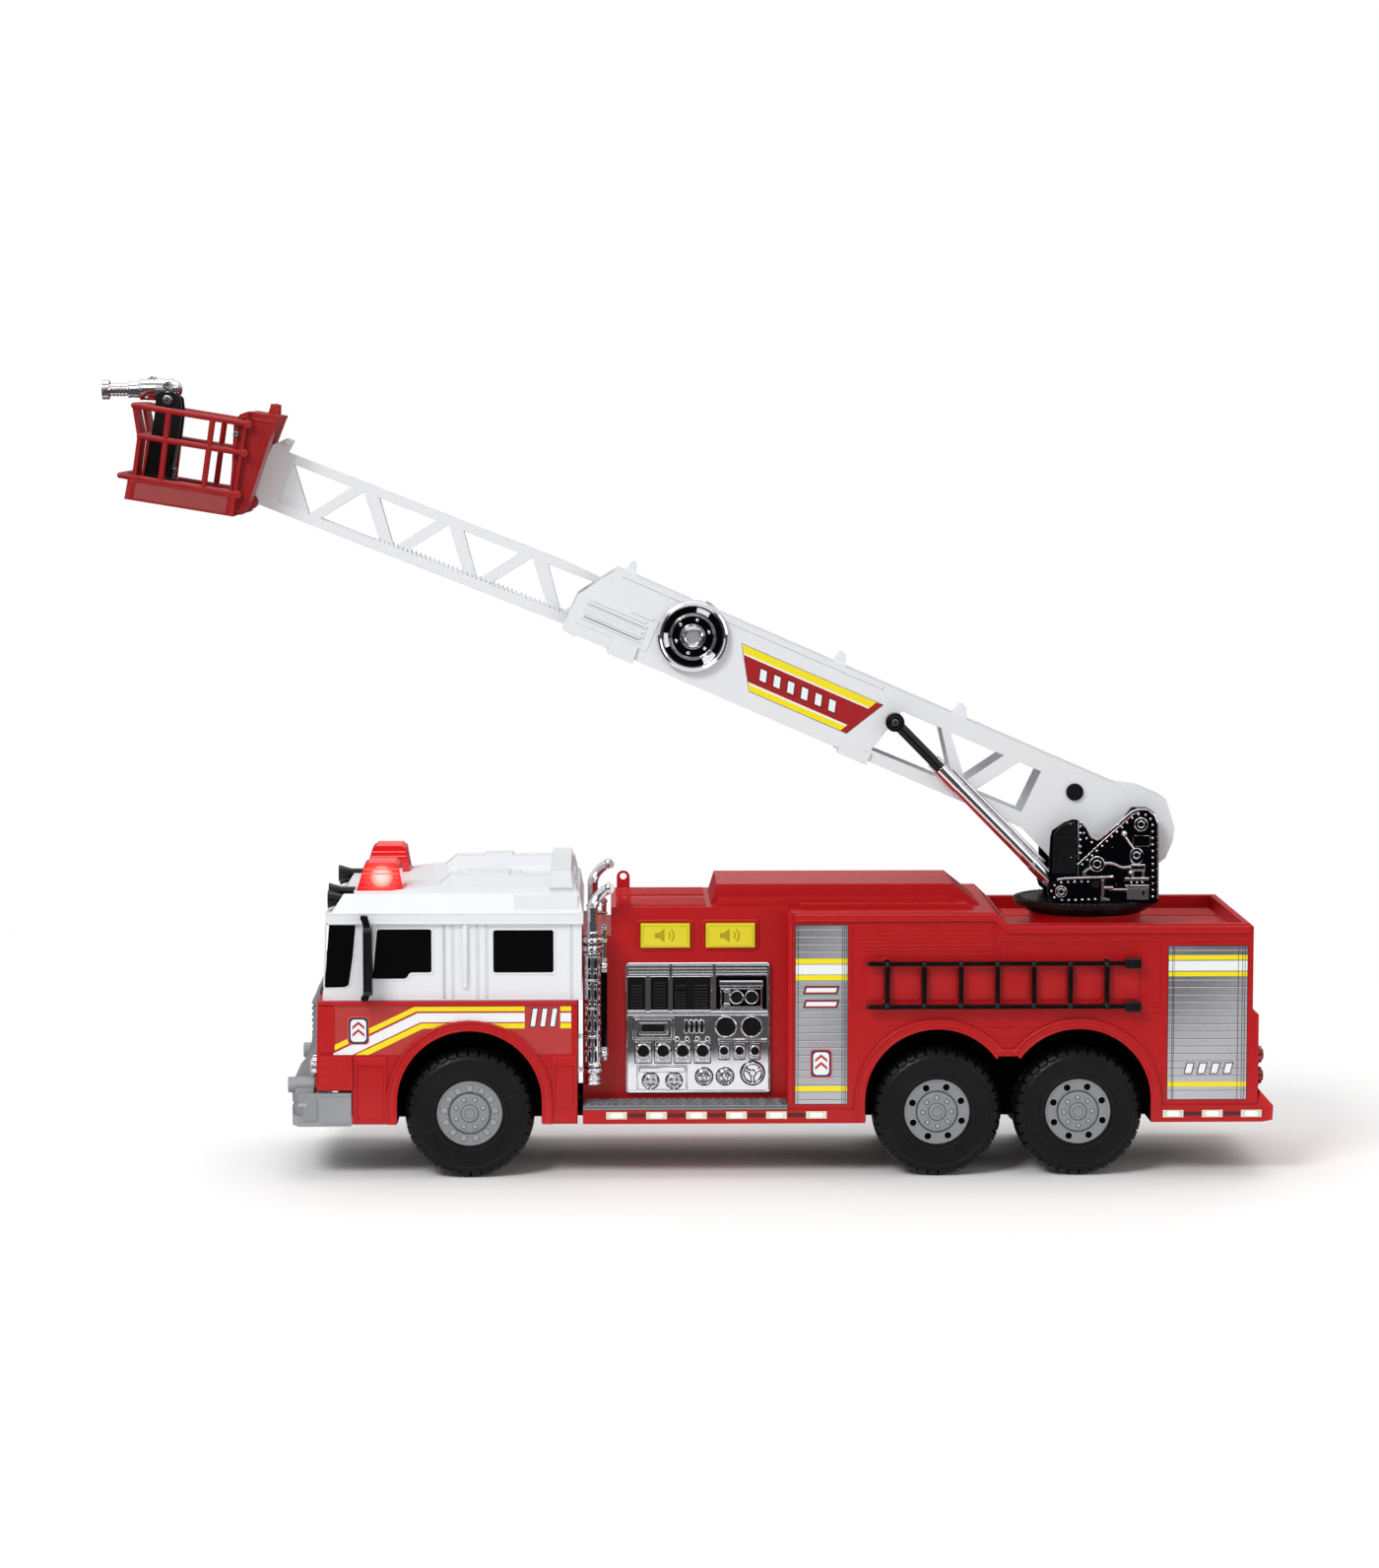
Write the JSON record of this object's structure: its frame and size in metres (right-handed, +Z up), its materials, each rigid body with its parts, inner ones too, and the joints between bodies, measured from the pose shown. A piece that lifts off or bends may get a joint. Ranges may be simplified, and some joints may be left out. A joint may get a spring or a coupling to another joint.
{
  "type": "toy fire engine",
  "caption": "Toy aerial-ladder fire engine with a swivelling turntable, lifting boom, crank-extended ladder and tilting rescue basket.",
  "frame": {"origin": "on the ground under the middle of the overall length, nozzle tip to rear step, on the centre plane", "axes": "+Z up, the cab faces -X, the left side of the truck is -Y"},
  "size_m": [0.741, 0.184, 0.5036],
  "materials": {
    "red_plastic": "gloss",
    "white_plastic": "satin",
    "black_plastic": "gloss",
    "black_matte": "satin",
    "grey_plastic": "satin",
    "yellow_plastic": "gloss",
    "chrome_trim": "mirror",
    "tyre": "satin",
    "steel": "satin",
    "red_lens": "gloss",
    "clear_lens": "gloss",
    "led": "gloss",
    "acetal": "satin",
    "brass_contact": "satin",
    "pcb_green": "satin"
  },
  "bodies": {
    "truck": {"air_horns": "black_plastic", "batteries": "steel", "battery_contacts": "brass_contact", "battery_door": "black_matte", "body_screws": "steel", "body_shell": "red_plastic", "cab_lower": "red_plastic", "cab_upper": "white_plastic", "cab_windows": "black_plastic", "chassis_base": "black_matte", "circuit_board": "pcb_green", "exhaust_left": "chrome_trim", "exhaust_right": "chrome_trim", "front_bumper": "grey_plastic", "front_grille": "grey_plastic", "headlight_lenses": "clear_lens", "marker_light_lenses": "clear_lens", "mirror_left": "black_plastic", "mirror_right": "black_plastic", "pump_panel_left": "chrome_trim", "pump_panel_right": "chrome_trim", "roof_light_leds": "led", "roof_light_lenses": "red_lens", "running_board_left": "grey_plastic", "running_board_right": "grey_plastic", "speaker": "black_matte", "tail_light_lenses": "red_lens", "turntable_bearing": "acetal"},
    "front_wheels": {"front_axle": "steel", "front_hubs": "grey_plastic", "front_tyres": "tyre"},
    "middle_wheels": {"middle_axle": "steel", "middle_hubs": "grey_plastic", "middle_tyres": "tyre"},
    "rear_wheels": {"rear_axle": "steel", "rear_hubs": "grey_plastic", "rear_tyres": "tyre"},
    "turntable": {"turntable_disc": "black_plastic", "turntable_retainer": "black_matte", "turret_plate_left": "chrome_trim", "turret_plate_right": "chrome_trim", "pivot_pins": "steel"},
    "boom": {"boom_shell_left": "white_plastic", "boom_shell_right": "white_plastic", "boom_screws": "black_plastic"},
    "barrels": {"cylinder_barrels": "chrome_trim"},
    "rods": {"cylinder_rods": "black_plastic"},
    "crank": {"crank_wheel_left": "chrome_trim", "crank_wheel_right": "chrome_trim", "crank_gears": "acetal"},
    "ladder": {"extension_ladder": "white_plastic"},
    "basket": {"basket": "red_plastic", "monitor_pedestal": "black_matte"},
    "nozzle": {"monitor_nozzle": "chrome_trim"},
    "button_front": {"sound_button_front": "yellow_plastic"},
    "button_rear": {"sound_button_rear": "yellow_plastic"},
    "switch": {"power_switch": "black_matte"},
    "hand_ladder_left": {"side_ladder_left": "black_plastic"},
    "hand_ladder_right": {"side_ladder_right": "black_plastic"}
  },
  "joints": [
    {"name": "front_axle_spin", "type": "hinge", "parent": "truck", "child": "front_wheels", "pos_m": [-0.137, 0, 0.041], "axis": [0, 1, 0], "continuous": true},
    {"name": "middle_axle_spin", "type": "hinge", "parent": "truck", "child": "middle_wheels", "pos_m": [0.158, 0, 0.041], "axis": [0, 1, 0], "continuous": true},
    {"name": "rear_axle_spin", "type": "hinge", "parent": "truck", "child": "rear_wheels", "pos_m": [0.2472, 0, 0.041], "axis": [0, 1, 0], "continuous": true},
    {"name": "turntable_swivel", "type": "hinge", "parent": "truck", "child": "turntable", "pos_m": [0.2591, 0, 0.16], "axis": [0, 0, 1], "continuous": true},
    {"name": "boom_lift", "type": "hinge", "parent": "turntable", "child": "boom", "pos_m": [0.2906, 0, 0.2191], "axis": [0, 1, 0], "range_deg": [-20, 25]},
    {"name": "barrel_pivot", "type": "hinge", "parent": "turntable", "child": "barrels", "pos_m": [0.2397, 0, 0.176], "axis": [0, 1, 0], "range_deg": [-20.6, 25.75]},
    {"name": "rod_slide", "type": "slide", "parent": "barrels", "child": "rods", "axis": [-0.7005, 0, 0.7137], "range_m": [-0.02321, 0.02902]},
    {"name": "ladder_extend", "type": "slide", "parent": "boom", "child": "ladder", "axis": [-0.9304, 0, 0.3665], "range_m": [-0.19, 0]},
    {"name": "crank_turn", "type": "hinge", "parent": "boom", "child": "crank", "pos_m": [0.0047, 0, 0.3388], "axis": [0, 1, 0], "range_deg": [-680.39, 0]},
    {"name": "basket_tilt", "type": "hinge", "parent": "ladder", "child": "basket", "pos_m": [-0.27656, 0, 0.42402], "axis": [0, -1, 0], "range_deg": [-8, 40]},
    {"name": "nozzle_tilt", "type": "hinge", "parent": "basket", "child": "nozzle", "pos_m": [-0.3282, 0, 0.4888], "axis": [0, 1, 0], "range_deg": [0, 50]},
    {"name": "button_front_press", "type": "slide", "parent": "truck", "child": "button_front", "axis": [0, 1, 0], "range_m": [0, 0.002], "stiffness_N_per_m": 600},
    {"name": "button_rear_press", "type": "slide", "parent": "truck", "child": "button_rear", "axis": [0, 1, 0], "range_m": [0, 0.002], "stiffness_N_per_m": 600},
    {"name": "power_switch_slide", "type": "slide", "parent": "truck", "child": "switch", "axis": [1, 0, 0], "range_m": [0, 0.006]},
    {"name": "hand_ladder_left_removal", "type": "slide", "parent": "truck", "child": "hand_ladder_left", "axis": [0, -1, 0], "range_m": [0, 0.012]},
    {"name": "hand_ladder_right_removal", "type": "slide", "parent": "truck", "child": "hand_ladder_right", "axis": [0, 1, 0], "range_m": [0, 0.012]}
  ],
  "couplings": [
    {"joint": "barrel_pivot", "follows": "boom_lift", "ratio": 1.03},
    {"joint": "rod_slide", "follows": "boom_lift", "m_per_rad": 0.0665},
    {"joint": "crank_turn", "follows": "ladder_extend", "rad_per_m": 62.5}
  ]
}
